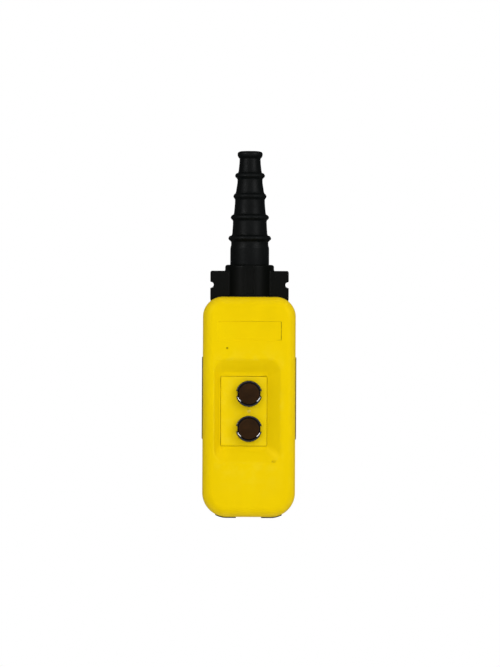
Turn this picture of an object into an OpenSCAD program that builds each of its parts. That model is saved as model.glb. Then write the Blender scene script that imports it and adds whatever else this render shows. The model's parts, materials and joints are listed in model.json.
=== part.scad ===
// Two-button pendant control station: two moulded half-shells, a rubber cable sleeve,
// an entry block with side lugs, two sealed push-buttons and their contact blocks.
// Millimetres. X to the right, -Y is the button side, Z up along the cable.
// The origin is the centre of the cable mouth at the top of the sleeve.

/* [Case] */
// Width of the case across the sides
body_w = 79.6; // [79:0.1:82]
// Height of the case without the entry block
body_h = 188.8; // [186:0.2:200]
// Depth of the front shell from the parting plane
front_d = 36; // [36:0.5:40]
// Depth of the rear shell from the parting plane
rear_d = 34; // [34:0.5:38]
// Wall thickness of both shells
wall = 3; // [2.6:0.1:3.2]
// Corner radius seen from the front
corner_r = 17; // [16:0.5:18]
// Corner radius at the foot, seen from the front
foot_r = 21; // [20:0.5:22]
// Rounding of the front shell's front edge
front_fillet = 9; // [7:0.5:9]
// Rounding of the rear shell's back edge
rear_fillet = 10; // [8:0.5:11]
// Thickness of the rubber seal between the shells
seal_t = 1.2; // [1:0.1:1.6]
// How far the rubber side bumpers stand proud of the shells
bumper_out = 1; // [0.6:0.1:1.2]

/* [Recess and button plate] */
// Depth of the scooped recess around the buttons
recess_d = 6; // [5.8:0.1:6.2]
// Width of the button plate
plate_w = 40; // [39:0.5:41]
// Height of the button plate
plate_h = 60; // [59:0.5:60]
// Gap around the button plate
plate_gap = 0.3; // [0.2:0.05:0.4]
// Depth of the blank label field
label_d = 0.4; // [0.3:0.1:0.6]

/* [Buttons] */
// Distance between the two button axes
pitch = 30; // [28:0.5:32]
// Outer diameter of the bezel ring
bezel_od = 22.4; // [22.2:0.1:23]
// Diameter of the button cap
cap_od = 17.8; // [17.4:0.1:18]
// Full stroke of a button
stroke = 3.2; // [2.6:0.1:3.2]
// Gap that the moving contacts close
contact_gap = 1.8; // [1.4:0.1:1.8]
// Diameter of the guide bore in the bezel barrel
guide_d = 10; // [9.8:0.1:10.2]
// Radial running clearance of the stems and plungers
run_c = 0.05; // [0.03:0.01:0.08]

/* [Cable entry] */
// Diameter of the hub that holds the sleeve
hub_d = 42.2; // [42:0.1:43]
// Width across the side lugs
lug_w = 67.6; // [66:0.2:68]
// Thickness of the lugs from front to back
lug_t = 24; // [22:0.5:26]
// Bore of the sleeve's mouth
mouth_d = 9; // [8:0.5:10]
// Diameter of the cable groove in the clamp bars
clamp_d = 16; // [14:0.5:17]

/* [Hidden] */
$fn = 48;
eps = 0.01;

hub_h = 27.9;                       // hub top above the case
sleeve_h = 98.2;                    // sleeve above the hub
total_h = body_h + hub_h + sleeve_h; // case bottom to cable mouth
z_hub = body_h + hub_h;

y_front = -front_d;                 // outer front face
y_floor = y_front + recess_d;       // recess floor
floor_t = 3.5;                      // thickness behind the recess floor
pocket_d = 1.5;                     // how deep the plate sits in the floor
plate_y0 = y_floor - 0.3;           // plate front, a little proud
plate_y1 = y_floor + pocket_d;      // plate back
z_mid = 90.8;                       // midway between the buttons
z_up = z_mid + pitch / 2;
z_lo = z_mid - pitch / 2;

// button stack, from the front backwards
ring_y0 = y_front - 0.2;            // bezel ring's front edge
cup_y = plate_y0 - 1;               // floor of the bezel's cup
cap_y1 = cup_y - stroke - 0.5;      // cap's back at rest
cup_r = cap_od / 2 + 0.3;           // cup that the cap sinks into
cap_edge = 1;                       // cap's edge thickness
cap_rise = 0.6;                     // cap's dome
barrel_y1 = y_floor + 10;           // end of the bezel barrel
nut_y0 = y_floor + floor_t + 1;     // lock nut's front face
nut_t = 3.5;
stem_y1 = barrel_y1 + 4;            // stem's end, on the plunger
stem_r = guide_d / 2 - run_c;
clip_y0 = barrel_y1 + 0.4;

// contact block
blk_y0 = -8;
blk_y1 = 26;
blk_w = 40;
blk_h = 26;
plunger_r = 4;
win_y0 = 1;                         // window for bridge and spring in the plunger
bridge_y0 = 8;
bridge_t = 0.8;
tip_t = 0.6;
win_y1 = bridge_y0 + bridge_t + 0.3;
fix_y0 = bridge_y0 + bridge_t + tip_t + contact_gap + 0.1; // fixed tips' front face
strip_y0 = fix_y0 + 0.8;
strip_t = 1;
slot_y0 = 4;
slot_y1 = strip_y0 + strip_t;
plunger_y1 = 14.5;
well_y1 = 22;
term_x = 15.3;
br_t = 2;                           // bracket sheet
fix_x = 15.9;                       // block fixing screws
fix_z = 9;

screw_x = body_w / 2 - 14.3;
screw_z = [foot_r - 2.5, body_h - corner_r];
ins_l = 9;

// recess opening and floor, as [x0, x1, z0, z1]
mouth = [-29.9, 27.5, 46, 135.5];
floor_r = [-25.2, 16, 57, 124.3];
plate_x = -4.4;                     // plate centre, left of the buttons
label = [-27.7, 27.7, 150.5, 167.7];

module place() translate([0, 0, -total_h]) children();

// --- shared shapes -----------------------------------------------------------
// cylinder along Y from y0 to y1
module ycyl(r, y0, y1, x = 0, z = 0) translate([x, y1, z]) rotate([90, 0, 0]) cylinder(r = r, h = y1 - y0);
// outline in the XZ plane, thickened from y0 to y1
module slab(y0, y1) translate([0, y1, 0]) rotate([90, 0, 0]) linear_extrude(y1 - y0) children();
// profile in (radius, distance from the front) turned about an axis along Y, starting at y0
module turned(y0, x = 0, z = 0) translate([x, y0, z]) rotate([-90, 0, 0]) rotate_extrude() children();

module quarter(f) intersection() { circle(r = f); square(f + 1); }
module solid_profile(r, d, f) {
    square([r, d - f]);
    square([r - f, d]);
    translate([r - f, d - f]) quarter(f);
}
module wall_profile(r, d, f, t) difference() {
    solid_profile(r, d, f);
    translate([-1, -1]) solid_profile(r - t + 1, d - t + 1, f - t);
}
module edge_run(l, r, d, f, t) translate([0, l, 0]) rotate([90, 0, 0]) linear_extrude(l) wall_profile(r, d, f, t);

// open tub with rounded corners, rounder at the foot: opening at local z = 0, closed side at z = d
module tub(w, h, r, rf, d, f, t) {
    cx = w / 2 - r;
    cf = w / 2 - rf;
    for (c = [[cx, h - r, 0, r], [-cx, h - r, 90, r], [-cf, rf, 180, rf], [cf, rf, 270, rf]])
        translate([c[0], c[1], 0]) rotate([0, 0, c[2]]) rotate_extrude(angle = 90) wall_profile(c[3], d, f, t);
    translate([cx, rf, 0]) edge_run(h - r - rf, r, d, f, t);
    translate([-cx, h - r, 0]) rotate([0, 0, 180]) edge_run(h - r - rf, r, d, f, t);
    translate([cx, h - r, 0]) rotate([0, 0, 90]) edge_run(2 * cx, r, d, f, t);
    translate([-cf, rf, 0]) rotate([0, 0, 270]) edge_run(2 * cf, rf, d, f, t);
    translate([-cx, rf, d - t]) cube([2 * cx, h - r - rf, t]);
}

// outline of the case, grown by g
module outline(g = 0) {
    r = corner_r + g;
    rf = foot_r + g;
    w = body_w / 2 + g;
    translate([-w, foot_r]) square([2 * w, body_h - corner_r - foot_r]);
    translate([-w + r, foot_r]) square([2 * (w - r), body_h - foot_r + g]);
    translate([-w + rf, -g]) square([2 * (w - rf), foot_r + g + 1]);
    for (s = [-1, 1]) {
        translate([s * (w - r), body_h - corner_r]) circle(r = r);
        translate([s * (w - rf), foot_r]) circle(r = rf);
    }
}

// thin rounded rectangle used as an end of a hull
module rr(b, r, y, g = 0) for (x = [b[0] - g + r, b[1] + g - r], z = [b[2] - g + r, b[3] + g - r])
    translate([x, y, z]) rotate([90, 0, 0]) cylinder(r = r, h = eps, $fn = 32);

// coil spring along Y: closed tube swept round a helix
module coil(x, z, y0, y1, coil_r, wire_r, turns) {
    n = 16;
    m = 8;
    steps = turns * n;
    len = y1 - y0 - 2 * wire_r;
    function rise(i) = y0 + wire_r + len * i / steps;
    pts = [for (i = [0 : steps], j = [0 : m - 1])
        let (a = 360 * i / n, b = 360 * j / m, r = coil_r + wire_r * cos(b))
        [x + r * cos(a), rise(i) + wire_r * sin(b), z + r * sin(a)]];
    sides = [for (i = [0 : steps - 1], j = [0 : m - 1])
        let (k = (j + 1) % m) [i * m + j, i * m + k, (i + 1) * m + k, (i + 1) * m + j]];
    polyhedron(points = pts, faces = concat(
        [[for (j = [m - 1 : -1 : 0]) j]], sides, [[for (j = [0 : m - 1]) steps * m + j]]));
}

// --- case --------------------------------------------------------------------
module neck_cut() translate([0, 0, body_h - 12]) cylinder(r = 20.8, h = 20);

module front_shell() place() color([0.93, 0.78, 0.02]) difference() {
    union() {
        rotate([90, 0, 0]) tub(body_w, body_h, corner_r, foot_r, front_d, front_fillet, wall);
        hull() { rr(mouth, 12, y_front + wall, 2.2); rr(floor_r, 6, y_floor + floor_t, 2.6); }
        for (x = [-screw_x, screw_x], z = screw_z) ycyl(5, y_front + wall - 0.5, -0.4, x, z);
    }
    hull() { rr(mouth, 11, y_front - eps); rr(floor_r, 5, y_floor + eps); }
    // pocket for the button plate
    translate([plate_x - plate_w / 2, y_floor - eps, z_mid - plate_h / 2]) cube([plate_w, pocket_d + eps, plate_h]);
    for (z = [z_up, z_lo]) ycyl(8.15, y_floor - 1, y_floor + floor_t + 1, 0, z);
    ycyl(1.5, y_floor - 1, plate_y1 + 1.2, 0, z_mid);
    // blank label field
    translate([label[0], y_front - 1, label[2]]) cube([label[1] - label[0], 1 + label_d, label[3] - label[2]]);
    // gate mark of the moulding
    ycyl(0.9, y_front - 1, y_front + 0.45, -18.9, 144.8);
    // short witness mark low in the recess
    translate([20, y_front - 1, 47.5]) cube([2.6, 2.1, 0.8]);
    // threaded insert seats
    for (x = [-screw_x, screw_x], z = screw_z) ycyl(2.8, -0.4 - ins_l - 2, 1, x, z);
    neck_cut();
}

module rear_shell() place() color([0.93, 0.78, 0.02]) difference() {
    union() {
        translate([0, seal_t, 0]) mirror([0, 1, 0]) rotate([90, 0, 0])
            tub(body_w, body_h, corner_r, foot_r, rear_d - seal_t, rear_fillet, wall);
        for (x = [-screw_x, screw_x], z = screw_z) ycyl(5.5, seal_t + 0.4, rear_d - wall + 0.5, x, z);
        for (x = [-20, 20], z = [56, 125]) ycyl(4, blk_y1 + br_t, rear_d - wall + 0.5, x, z);
    }
    for (x = [-screw_x, screw_x], z = screw_z) {
        ycyl(2.25, seal_t - 1, rear_d + 1, x, z);
        ycyl(3.8, rear_d - 12, rear_d + 1, x, z);
    }
    for (x = [-20, 20], z = [56, 125]) ycyl(1.25, blk_y1 + br_t - 1, rear_d - 1.4, x, z);
    // relief for the rubber bumpers
    for (s = [-1, 1]) slab(seal_t - 1, seal_t + 4.1) polygon([
        [s * (body_w / 2 - 1), 63], [s * (body_w / 2 + 2), 60], [s * (body_w / 2 + 2), 143], [s * (body_w / 2 - 1), 140]]);
    // finger flutes across the back
    for (z = [74 : 8 : 122]) translate([-24, rear_d + 1.1, z]) rotate([0, 90, 0]) cylinder(r = 2, h = 48);
    // blank field on the back
    translate([-20, rear_d - 0.4, 146]) cube([40, 2, 22]);
    neck_cut();
}

module case_seal() place() color([0.06, 0.06, 0.065]) {
    difference() {
        slab(0, seal_t) difference() { outline(-0.3); outline(-2.7); }
        neck_cut();
        for (x = [-screw_x, screw_x], z = screw_z) ycyl(5.9, -1, seal_t + 1, x, z);
    }
    // side bumpers
    for (s = [-1, 1]) slab(0, seal_t + 3.8) polygon([
        [s * (body_w / 2 - 0.95), 64], [s * (body_w / 2 + bumper_out), 66.5],
        [s * (body_w / 2 + bumper_out), 136.5], [s * (body_w / 2 - 0.95), 139]]);
    // foot pads in one piece with the seal, round the lower corners
    for (s = [-1, 1]) {
        slab(0, seal_t) foot_pad(s, -1);
        slab(-24, 0) foot_pad(s, 0);
    }
}
module foot_pad(s, g) difference() {
    intersection() {
        translate([0, -1]) outline();
        translate([s * 19.7 - 8.9, -3]) square([17.8, 9]);
    }
    outline(g);
}

module case_screws() place() color([0.2, 0.2, 0.21])
    for (x = [-screw_x, screw_x], z = screw_z) difference() {
        union() {
            ycyl(2, -ins_l + 0.5, rear_d - 11, x, z);
            turned(rear_d - 12, x, z) { square([3.4, 1.8]); translate([0, 1.8]) solid_profile(3.4, 1.2, 1); }
        }
        for (a = [0, 90]) translate([x, rear_d - 8.9, z]) rotate([0, a, 0]) cube([0.9, 3, 4.6], center = true);
    }

module thread_inserts() place() color([0.78, 0.6, 0.28])
    for (x = [-screw_x, screw_x], z = screw_z) difference() {
        ycyl(2.8, -0.4 - ins_l, -0.4, x, z);
        ycyl(2, -1 - ins_l, 1, x, z);
        for (y = [-3, -6.4]) turned(y, x, z) translate([2.55, 0]) square([1, 0.7]);
    }

// --- buttons -----------------------------------------------------------------
module button_plate() place() color([0.93, 0.78, 0.02]) difference() {
    translate([plate_x - plate_w / 2 + plate_gap, plate_y0, z_mid - plate_h / 2 + plate_gap])
        cube([plate_w - 2 * plate_gap, plate_y1 - plate_y0, plate_h - 2 * plate_gap]);
    for (z = [z_up, z_lo]) ycyl(8.15, plate_y0 - 1, plate_y1 + 1, 0, z);
    ycyl(1.5, plate_y0 - 1, plate_y1 + 1, 0, z_mid);
}

module plate_pin() place() color([0.9, 0.88, 0.8]) {
    ycyl(1.5, plate_y0, plate_y1 + 1.2, 0, z_mid);
    translate([0, plate_y0, z_mid]) rotate([90, 0, 0]) intersection() {
        translate([0, 0, -2.4]) sphere(r = 2.83);
        cylinder(r = 3, h = 1);
    }
}

module bezel(z) place() color([0.05, 0.05, 0.055]) difference() {
    turned(ring_y0, 0, z) difference() {
        union() {
            translate([0, 0.8]) square([bezel_od / 2, plate_y0 - ring_y0 - 0.8]);
            square([bezel_od / 2 - 0.8, 0.9]);
            translate([bezel_od / 2 - 0.8, 0.8]) circle(r = 0.8);
            square([8, barrel_y1 - ring_y0]);
        }
        translate([-1, -1]) square([1 + cup_r, 1 + cup_y - ring_y0]);
        polygon([[0, -0.01], [bezel_od / 2 - 1.1, -0.01], [cup_r, 0.4], [0, 0.4]]);
        translate([-1, 0]) square([1 + guide_d / 2, 60]);
    }
    // notches for a ring spanner, at both sides
    for (x = [-bezel_od / 2 - 1, bezel_od / 2 - 1.4]) translate([x, ring_y0 - 1, z - 2.4]) cube([2.4, plate_y0 - ring_y0 + 1, 4.8]);
}
module bezel_upper() bezel(z_up);
module bezel_lower() bezel(z_lo);

module bezel_gaskets() place() color([0.1, 0.1, 0.1]) for (z = [z_up, z_lo]) difference() {
    ycyl(11.5, y_floor + floor_t, nut_y0, 0, z);
    ycyl(8.1, 0 - front_d, 0, 0, z);
}

module lock_nuts() place() color([0.16, 0.16, 0.17]) for (z = [z_up, z_lo])
    translate([0, nut_y0 + nut_t, z]) rotate([90, 0, 0]) difference() {
        cylinder(r = 12.1, h = nut_t, $fn = 6);
        translate([0, 0, -1]) cylinder(r = 8, h = nut_t + 2);
    }

module cap(z) place() color([0.16, 0.11, 0.07]) {
    R = (cap_od * cap_od / 4 + cap_rise * cap_rise) / (2 * cap_rise);
    turned(cap_y1 - cap_edge - cap_rise, 0, z) {
        intersection() {
            translate([0, R]) circle(r = R, $fn = 180);
            square([cap_od / 2, cap_rise]);
        }
        translate([0, cap_rise]) square([cap_od / 2, cap_edge]);
    }
}
module cap_upper() cap(z_up);
module cap_lower() cap(z_lo);

module boot(z) place() color([0.07, 0.07, 0.07]) turned(cap_y1 + 0.05, 0, z) {
    g = cup_y - cap_y1 - 0.1;
    polygon([[5.6, 0], [8.6, 0], [8.6, 0.6], [7.1, g / 2], [8.6, g - 0.6], [8.6, g], [5.6, g], [5.6, g - 0.5], [6.3, g / 2], [5.6, 0.5]]);
}
module boot_upper() boot(z_up);
module boot_lower() boot(z_lo);

module stem(z) place() color([0.75, 0.75, 0.72]) difference() {
    ycyl(stem_r, cap_y1, stem_y1, 0, z);
    turned(clip_y0, 0, z) translate([4, 0]) square([3, 0.8]);
}
module stem_upper() stem(z_up);
module stem_lower() stem(z_lo);

module clip(z) place() color([0.7, 0.7, 0.72]) difference() {
    ycyl(6.6, clip_y0, clip_y0 + 0.8, 0, z);
    ycyl(4, clip_y0 - 1, clip_y0 + 2, 0, z);
    translate([-2.4, clip_y0 - 1, z - 9]) cube([4.8, 3, 9]);
}
module clip_upper() clip(z_up);
module clip_lower() clip(z_lo);

// --- contact blocks ----------------------------------------------------------
module contact_block(z, s) place() color([0.22, 0.23, 0.25]) translate([0, 0, z]) difference() {
    translate([-blk_w / 2, blk_y0, -blk_h / 2]) cube([blk_w, blk_y1 - blk_y0, blk_h]);
    // plunger guide and spring well
    ycyl(plunger_r + run_c, blk_y0 - 1, slot_y0 + 1);
    ycyl(4.7, slot_y1 - 1, well_y1);
    // slot for bridge and terminals, open to both sides
    translate([-blk_w / 2 - 1, slot_y0, -4.2]) cube([blk_w + 2, slot_y1 - slot_y0, 8.4]);
    for (x = [-term_x, term_x]) {
        ycyl(3.6, blk_y0 - 1, slot_y0 + 1, x);
        ycyl(1.8, slot_y1 - 1, slot_y1 + 5, x);
    }
    // fixing screw holes on one diagonal
    for (k = [-1, 1]) {
        ycyl(1.6, blk_y0 - 1, blk_y1 + 1, k * fix_x, k * s * fix_z);
        ycyl(3.1, blk_y0 - 1, blk_y0 + 10, k * fix_x, k * s * fix_z);
    }
    // identification steps on the front face
    for (x = [-blk_w / 2 - 1, blk_w / 2 - 1]) translate([x, blk_y0 - 1, -6.5]) cube([2, 3, 13]);
}
module contact_block_upper() contact_block(z_up, 1);
module contact_block_lower() contact_block(z_lo, 1);

module plunger(z) place() color([0.75, 0.15, 0.1]) difference() {
    ycyl(plunger_r, stem_y1, plunger_y1, 0, z);
    translate([-5, win_y0, z - 2.8]) cube([10, win_y1 - win_y0, 5.6]);
}
module plunger_upper() plunger(z_up);
module plunger_lower() plunger(z_lo);

module return_spring_upper() place() color([0.75, 0.75, 0.75]) coil(0, z_up, plunger_y1 + 0.05, well_y1, 3.2, 0.35, 5);
module return_spring_lower() place() color([0.75, 0.75, 0.75]) coil(0, z_lo, plunger_y1 + 0.05, well_y1, 3.2, 0.35, 5);
module contact_spring_upper() place() color([0.75, 0.75, 0.75]) coil(0, z_up, win_y0 + 0.05, bridge_y0, 1.8, 0.25, 6);
module contact_spring_lower() place() color([0.75, 0.75, 0.75]) coil(0, z_lo, win_y0 + 0.05, bridge_y0, 1.8, 0.25, 6);

module bridge(z) place() color([0.8, 0.5, 0.3]) {
    translate([-11, bridge_y0, z - 2.5]) cube([22, bridge_t, 5]);
    for (x = [-9.3, 9.3]) ycyl(1.5, bridge_y0 + bridge_t, bridge_y0 + bridge_t + tip_t, x, z);
}
module bridge_upper() bridge(z_up);
module bridge_lower() bridge(z_lo);

module fixed_contacts(z) place() color([0.82, 0.66, 0.3]) for (s = [-1, 1]) {
    difference() {
        translate([s * 13.1 - 5.3, strip_y0, z - 3.4]) cube([10.6, strip_t, 6.8]);
        ycyl(1.7, strip_y0 - 1, strip_y0 + 3, s * term_x, z);
    }
    ycyl(1.5, fix_y0, strip_y0, s * 9.3, z);
}
module fixed_contacts_upper() fixed_contacts(z_up);
module fixed_contacts_lower() fixed_contacts(z_lo);

clamp_y1 = strip_y0 - 2.2;
module terminal_screws() place() color([0.7, 0.7, 0.68]) for (s = [-1, 1], z = [z_up, z_lo]) difference() {
    union() {
        ycyl(1.7, clamp_y1 - 1, slot_y1 + 3.6, s * term_x, z);
        ycyl(3.1, clamp_y1 - 3.2, clamp_y1 - 1, s * term_x, z);
    }
    translate([s * term_x - 4, clamp_y1 - 4.2, z - 0.45]) cube([8, 2, 0.9]);
}

module terminal_clamps() place() color([0.75, 0.72, 0.6]) for (s = [-1, 1], z = [z_up, z_lo]) difference() {
    translate([s * term_x - 3.3, clamp_y1 - 1, z - 3.4]) cube([6.6, 1, 6.8]);
    ycyl(1.7, clamp_y1 - 3, clamp_y1 + 3, s * term_x, z);
}

module mounting_bracket() place() color([0.72, 0.73, 0.72]) difference() {
    union() {
        slab(blk_y1, blk_y1 + br_t) {
            translate([-24, 51]) square([48, 79]);
        }
        // turned-in flanges along both sides
        for (x = [-24, 22.5]) translate([x, blk_y1 - 7, 60]) cube([1.5, 8, 61]);
    }
    for (x = [-20, 20], z = [56, 125]) ycyl(1.7, blk_y1 - 1, blk_y1 + br_t + 1, x, z);
    for (z = [z_up, z_lo], k = [-1, 1]) ycyl(1.5, blk_y1 - 1, blk_y1 + br_t + 1, k * fix_x, z + k * fix_z);
    // openings for wiring
    for (x = [-7, 7]) ycyl(5, blk_y1 - 1, blk_y1 + br_t + 1, x, 54 + 36);
}

module block_screws() place() color([0.7, 0.7, 0.68]) for (z = [z_up, z_lo], k = [-1, 1]) difference() {
    union() {
        ycyl(1.5, blk_y0 + 10, blk_y1 + br_t + 0.8, k * fix_x, z + k * fix_z);
        ycyl(2.8, blk_y0 + 7.6, blk_y0 + 10, k * fix_x, z + k * fix_z);
    }
    translate([k * fix_x - 3, blk_y0 + 6.6, z + k * fix_z - 0.4]) cube([6, 2, 0.8]);
}

module bracket_screws() place() color([0.7, 0.7, 0.68]) for (x = [-20, 20], z = [56, 125]) difference() {
    union() {
        ycyl(1.25, blk_y1, rear_d - 1.8, x, z);
        ycyl(2.9, blk_y1 - 2, blk_y1, x, z);
        ycyl(2.4, blk_y1 - 2.5, blk_y1 - 1, x, z);
    }
    translate([x - 3, blk_y1 - 3.5, z - 0.4]) cube([6, 2, 0.8]);
}

// --- cable entry -------------------------------------------------------------
gasket_t = 1;
module entry_block() place() color([0.09, 0.09, 0.1]) difference() {
    union() {
        // hub, with rounded shoulders
        translate([0, 0, body_h - 6.5]) rotate_extrude() solid_profile(hub_d / 2, hub_h + 6.5, 2);
        // lugs, following the rounded top of the case
        slab(-lug_t / 2, lug_t / 2) difference() {
            union() {
                translate([-lug_w / 2, body_h - 8]) square([lug_w, 29.1]);
                translate([-lug_w / 2 + 1.5, body_h - 8]) square([lug_w - 3, 30.6]);
                for (s = [-1, 1]) translate([s * (lug_w / 2 - 1.5), body_h + 21.1]) circle(r = 1.5);
            }
            outline(gasket_t);
            for (s = [-1, 1]) translate([s * (lug_w / 2 - 0.3), body_h + 10.5]) circle(r = 2.6);
        }
        // flange inside the case
        translate([0, 0, body_h - 6.5]) cylinder(r = 23.5, h = 3.2);
        // tongue for the cable clamp
        translate([-16.5, 12, body_h - 24.8]) cube([33, 4, 19]);
    }
    // groove that the top walls of the shells sit in
    difference() {
        translate([0, 0, body_h - 3.3]) cylinder(r = 30, h = 3.3 + gasket_t);
        translate([0, 0, body_h - 4]) cylinder(r = 20.5, h = 6);
    }
    // bore, with a lip at the top that holds the sleeve
    translate([0, 0, body_h - 8]) cylinder(r = 18.8, h = hub_h + 5);
    translate([0, 0, body_h]) cylinder(r = 17, h = hub_h + 2);
    for (x = [-13, 13]) ycyl(2.15, 5, 20, x, body_h - 17.8);
    // flute down the front of the hub
    translate([-3.6, -hub_d / 2 - 1, body_h + 3]) cube([7.2, 1.7, hub_h]);
}

module entry_gasket() place() color([0.05, 0.05, 0.05]) difference() {
    union() {
        slab(-lug_t / 2 + 0.2, lug_t / 2 - 0.2) intersection() {
            difference() { outline(gasket_t); outline(0); }
            translate([-lug_w / 2 + 0.3, body_h - 8]) square([lug_w - 0.6, 20]);
        }
        translate([0, 0, body_h]) cylinder(r = 22.6, h = gasket_t);
    }
    translate([0, 0, body_h - 12]) cylinder(r = 20.5, h = 20);
}

// neck: [radius at its top, at its bottom]
necks = [[9.05, 9.95], [10.85, 12.1], [12.9, 13.7], [14.6, 15.2], [16.05, 16.8]];
// bead under each of the first four necks: [distance below the mouth, outer radius]
beads = [[21.2, 12.9], [39, 14.3], [57.3, 16.5], [75.3, 18.45]];
// bore step: [distance below the mouth where it ends, radius]
steps = [[8.5, mouth_d / 2], [24, 6.6], [42, 8.3], [60, 10.2], [78, 12], [108.2, 13.2]];

// outside of a bead between two necks: steep above, rounded, sloping off below
function bead(c, r, up, down) = [[up, 4 - c], [up + 0.45, 2.6 - c], [r - 0.95, 2 - c], [r - 0.4, 1.2 - c], [r, 0.4 - c],
    [r, -0.5 - c], [r - 0.6, -1.4 - c], [max(r - 1.5, down + 0.3), -2.2 - c], [down, -3.1 - c]];

module cable_sleeve() place() color([0.05, 0.05, 0.052]) translate([0, 0, total_h]) difference() {
    // stepped outside, with a rounded mouth at the top and a root flange at the bottom
    rotate_extrude() polygon(concat(
        [[0, 0], [8.2, 0], [10, -0.6], [10.7, -1.5], [10.9, -2.9], [10.6, -4.4], [9.9, -5.5], [necks[0][0], -6.3]],
        [for (i = [0 : 3]) each bead(beads[i][0], beads[i][1], necks[i][1], necks[i + 1][0])],
        [[16.8, -83], [16.8, -sleeve_h - 3], [18.6, -sleeve_h - 3], [18.6, -sleeve_h - 7.3], [0, -sleeve_h - 7.3]]));
    // stepped bore, cut back to suit the cable
    rotate_extrude() polygon(concat([[0, 1], [steps[0][1], 1]],
        [for (i = [0 : len(steps) - 2]) each [[steps[i][1], -steps[i][0]], [steps[i + 1][1], -steps[i][0]]]],
        [[steps[5][1], -steps[5][0]], [0, -steps[5][0]]]));
}

module sleeve_ring() place() color([0.12, 0.12, 0.13]) difference() {
    translate([0, 0, z_hub - 10.9]) cylinder(r = 18.7, h = 3.6);
    translate([0, 0, z_hub - 12]) cylinder(r = 14, h = 6);
    for (a = [0, 90]) rotate([0, 0, a]) translate([-20, -1.5, z_hub - 11.9]) cube([40, 3, 2.5]);
}

module clamp_bar(y0, y1) difference() {
    translate([-19, y0, body_h - 22.8]) cube([38, y1 - y0, 10]);
    translate([0, 0, body_h - 24]) cylinder(r = clamp_d / 2, h = 13);
    for (x = [-13, 13]) ycyl(2.15, y0 - 1, y1 + 1, x, body_h - 17.8);
}
module clamp_bar_front() place() color([0.13, 0.13, 0.14]) clamp_bar(-12, -2);
module clamp_bar_rear() place() color([0.13, 0.13, 0.14]) clamp_bar(2, 12);

module clamp_screws() place() color([0.7, 0.7, 0.68]) for (x = [-13, 13]) difference() {
    union() {
        ycyl(2, -12, 20.4, x, body_h - 17.8);
        ycyl(3.7, -15, -12, x, body_h - 17.8);
    }
    translate([x - 5, -16, body_h - 17.8 - 0.5]) cube([10, 2.2, 1]);
}

module clamp_nuts() place() color([0.7, 0.7, 0.68]) for (x = [-13, 13])
    translate([x, 19.2, body_h - 17.8]) rotate([90, 0, 0]) difference() {
        cylinder(r = 4.04, h = 3.2, $fn = 6);
        translate([0, 0, -1]) cylinder(r = 2, h = 6);
    }

// --- assembly ----------------------------------------------------------------
front_shell();
rear_shell();
case_seal();
case_screws();
thread_inserts();
button_plate();
plate_pin();
bezel_upper();
bezel_lower();
bezel_gaskets();
lock_nuts();
cap_upper();
cap_lower();
boot_upper();
boot_lower();
stem_upper();
stem_lower();
clip_upper();
clip_lower();
contact_block_upper();
contact_block_lower();
plunger_upper();
plunger_lower();
return_spring_upper();
return_spring_lower();
contact_spring_upper();
contact_spring_lower();
bridge_upper();
bridge_lower();
fixed_contacts_upper();
fixed_contacts_lower();
terminal_screws();
terminal_clamps();
mounting_bracket();
block_screws();
bracket_screws();
entry_block();
entry_gasket();
cable_sleeve();
sleeve_ring();
clamp_bar_front();
clamp_bar_rear();
clamp_screws();
clamp_nuts();
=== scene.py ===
import json
import math

import bmesh
import bpy
import numpy as np
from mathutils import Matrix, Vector
from mathutils.geometry import delaunay_2d_cdt


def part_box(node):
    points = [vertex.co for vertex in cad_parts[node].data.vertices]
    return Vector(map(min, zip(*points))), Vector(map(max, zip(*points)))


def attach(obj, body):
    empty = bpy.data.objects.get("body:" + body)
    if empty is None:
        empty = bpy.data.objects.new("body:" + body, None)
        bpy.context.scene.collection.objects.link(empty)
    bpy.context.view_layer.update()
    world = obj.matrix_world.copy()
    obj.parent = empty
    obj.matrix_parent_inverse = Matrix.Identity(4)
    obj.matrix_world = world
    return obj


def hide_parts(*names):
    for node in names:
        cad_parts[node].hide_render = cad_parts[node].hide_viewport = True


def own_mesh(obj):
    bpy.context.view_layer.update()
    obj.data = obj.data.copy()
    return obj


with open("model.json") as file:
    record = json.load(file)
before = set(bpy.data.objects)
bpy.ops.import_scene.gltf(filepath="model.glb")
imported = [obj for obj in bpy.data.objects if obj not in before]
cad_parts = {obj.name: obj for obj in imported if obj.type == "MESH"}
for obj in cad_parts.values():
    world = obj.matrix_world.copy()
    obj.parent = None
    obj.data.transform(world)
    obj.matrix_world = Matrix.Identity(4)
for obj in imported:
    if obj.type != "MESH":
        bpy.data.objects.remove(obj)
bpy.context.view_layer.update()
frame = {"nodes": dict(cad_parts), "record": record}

# ----------------------------------------------------------------------------
# frame of reference: x and y as in the row, w = height above the case's bottom
# ----------------------------------------------------------------------------
MM = 0.001
shell_lo, shell_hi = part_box("front_shell")
rear_lo, rear_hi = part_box("rear_shell")
Z0 = shell_lo[2]                                  # row z of the case's bottom edge
BW = (shell_hi[0] - shell_lo[0]) / MM             # case width
BH = (shell_hi[2] - shell_lo[2]) / MM             # case height
YF = shell_lo[1] / MM                             # front face
YR = rear_hi[1] / MM                              # back face
SEAL = rear_lo[1] / MM                            # rear shell's rim
CR = 17.0                                         # corner radius seen from the front
CF = 21.0                                         # corner radius at the foot
WALL = 3.0
FF = 9.0                                          # front edge rounding
RF = 10.0                                         # back edge rounding


def row(p):
    """A point in millimetres (x, y, w) as row metres."""
    return (p[0] * MM, p[1] * MM, Z0 + p[2] * MM)


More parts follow.
